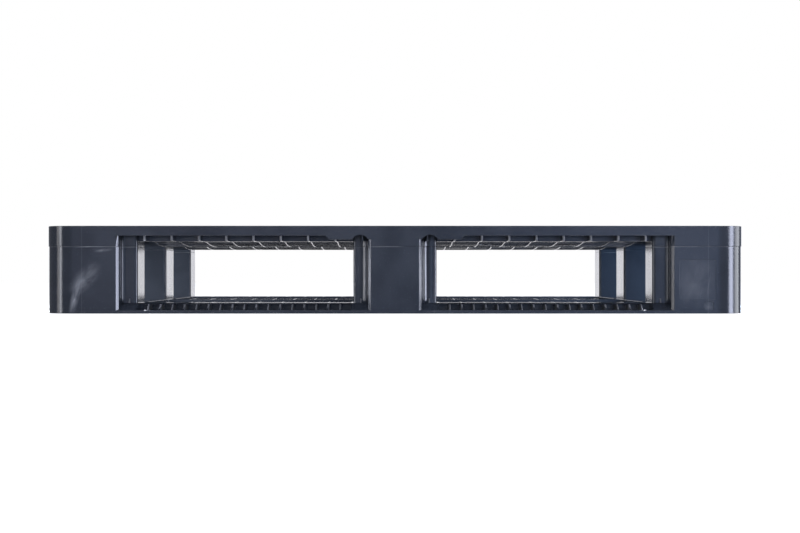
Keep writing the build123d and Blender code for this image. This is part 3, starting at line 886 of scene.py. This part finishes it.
world = bpy.data.worlds.new("studio")
world.use_nodes = True
sky = world.node_tree
background = sky.nodes["Background"]
direction = sky.nodes.new("ShaderNodeTexCoord").outputs["Generated"]
axes = split_axes(sky, direction)
front = sky.nodes.new("ShaderNodeValToRGB")
front.color_ramp.interpolation = "EASE"
stops = front.color_ramp.elements
stops[0].position, stops[0].color = FRONT_FROM, SIDES
stops[1].position, stops[1].color = FRONT_TO, SIDES
for place, colour in FRONT_STOPS:
    stops.new(place).color = colour
across = shader_math(sky, "ADD", shader_math(sky, "MULTIPLY", axes["X"], 0.5), 0.5)
sky.links.new(across, front.inputs["Fac"])
behind = ramp(sky, axes["Y"], BACKDROP_FROM, BACKDROP_TO)
room = blend(sky, behind, front.outputs["Color"], BACKDROP)
under = ramp(sky, axes["Z"], BELOW_FROM, BELOW_TO)
mirrored = blend(sky, under, room, BELOW)
to_camera = sky.nodes.new("ShaderNodeLightPath").outputs["Is Camera Ray"]
white = blend(sky, to_camera, mirrored, (1, 1, 1, 1))
sky.links.new(white, background.inputs["Color"])
bpy.context.scene.world = world


def soft_light(name, place, aim, width, height, power, colour=(1, 1, 1)):
    """A rectangular softbox at a place, turned to face a point."""
    lamp = bpy.data.lights.new(name, "AREA")
    lamp.shape = "RECTANGLE"
    lamp.size = width
    lamp.size_y = height
    lamp.energy = power
    lamp.color = colour
    box = link(bpy.data.objects.new(name, lamp))
    box.location = place
    box.rotation_euler = (Vector(aim) - Vector(place)).to_track_quat("-Z", "Y").to_euler()
    return box


SOFTBOX_OUT = 3.58
SOFTBOX_LOW = -0.6
SOFTBOX_HIGH = 1.3
# watts of a lamp for each square metre and each unit of radiance
LAMP_WATTS = 4
# name, side, first and last y, radiance, colour
SOFTBOXES = (
    ("right_softbox", 1, -1.89, -0.75, 11.0, (0.74, 0.79, 1.0)),
    ("right_back_softbox", 1, -0.28, 1.5, 3.2, (0.9, 0.93, 1.0)),
    ("left_softbox", -1, -2.1, -1.58, 7.0, (0.92, 0.94, 1.0)),
    ("left_strip", -1, -1.25, -0.98, 4.0, (1.0, 0.96, 0.95)),
)
middle_z = (SOFTBOX_LOW + SOFTBOX_HIGH) / 2
tall = SOFTBOX_HIGH - SOFTBOX_LOW
for name, side, y0, y1, radiance, colour in SOFTBOXES:
    y = (y0 + y1) / 2
    watts = radiance * LAMP_WATTS * (y1 - y0) * tall
    place = (side * SOFTBOX_OUT, y, middle_z)
    soft_light(name, place, (0, y, middle_z), y1 - y0, tall, watts, colour)
soft_light("top_softbox", (0, -0.4, 3.2), (0, 0, 0), width=3.2, height=2.4, power=60)
soft_light("top_back_softbox", (0, 1.6, 2.5), (0, -0.4, 0), width=3.6, height=1.1, power=50)
fill = soft_light(
    "front_fill",
    (0, -4.2, 0.3),
    (0, 0, 0.06),
    width=3.0,
    height=0.6,
    power=135,
    colour=(0.94, 0.96, 1.0),
)
fill.visible_glossy = False

# Two thin strips in the front openings give the middle block's upright edges their shine. Only
# mirroring faces see them.
STRIP_X = 0.43
STRIP_Y = -0.492
STRIP_Z = 0.07
STRIP_WIDTH = 0.022
STRIP_HEIGHT = 0.1
STRIP_WATTS = 0.13
STRIP_COLOUR = (0.84, 0.87, 1.0)
for name, x in (("left_edge_strip", -STRIP_X), ("right_edge_strip", STRIP_X)):
    place, aim = (x, STRIP_Y, STRIP_Z), (0, STRIP_Y, STRIP_Z)
    strip = soft_light(name, place, aim, STRIP_WIDTH, STRIP_HEIGHT, STRIP_WATTS, STRIP_COLOUR)
    strip.visible_diffuse = False
    strip.visible_camera = False

# Four small lamps stand just outside the short sides and look in between the blocks. They aren't
# mirrored.
OPENING_X = 0.7
OPENING_Z = 0.07
OPENING_AIM_X = 0.75
OPENING_AIM_Y = 0.26
OPENING_WIDTH = 0.12
OPENING_HEIGHT = 0.08
OPENING_WATTS = 2.6
LEFT_COLOUR = (0.95, 0.97, 1.0)
RIGHT_COLOUR = (0.5, 0.72, 1.0)
OPENING_LAMPS = (
    ("left_opening_lamp", -OPENING_X, -0.33, LEFT_COLOUR),
    ("left_back_opening_lamp", -OPENING_X, 0.1, LEFT_COLOUR),
    ("right_opening_lamp", OPENING_X, -0.33, RIGHT_COLOUR),
    ("right_back_opening_lamp", OPENING_X, 0.1, RIGHT_COLOUR),
)
for name, x, y, colour in OPENING_LAMPS:
    aim = (x * OPENING_AIM_X, y + OPENING_AIM_Y, OPENING_Z)
    lamp = soft_light(
        name, (x, y, OPENING_Z), aim, OPENING_WIDTH, OPENING_HEIGHT, OPENING_WATTS, colour
    )
    lamp.visible_glossy = False
    lamp.visible_camera = False

camera_data = bpy.data.cameras.new("camera")
camera_data.lens = LENS
camera_data.sensor_width = 36
camera_data.shift_x = SHIFT_X
camera_data.shift_y = SHIFT_Y
camera = link(bpy.data.objects.new("camera", camera_data))
camera.location = (0, -CAMERA_BACK, CAMERA_HEIGHT)
camera.rotation_euler = (math.pi / 2, 0, 0)
bpy.context.scene.camera = camera
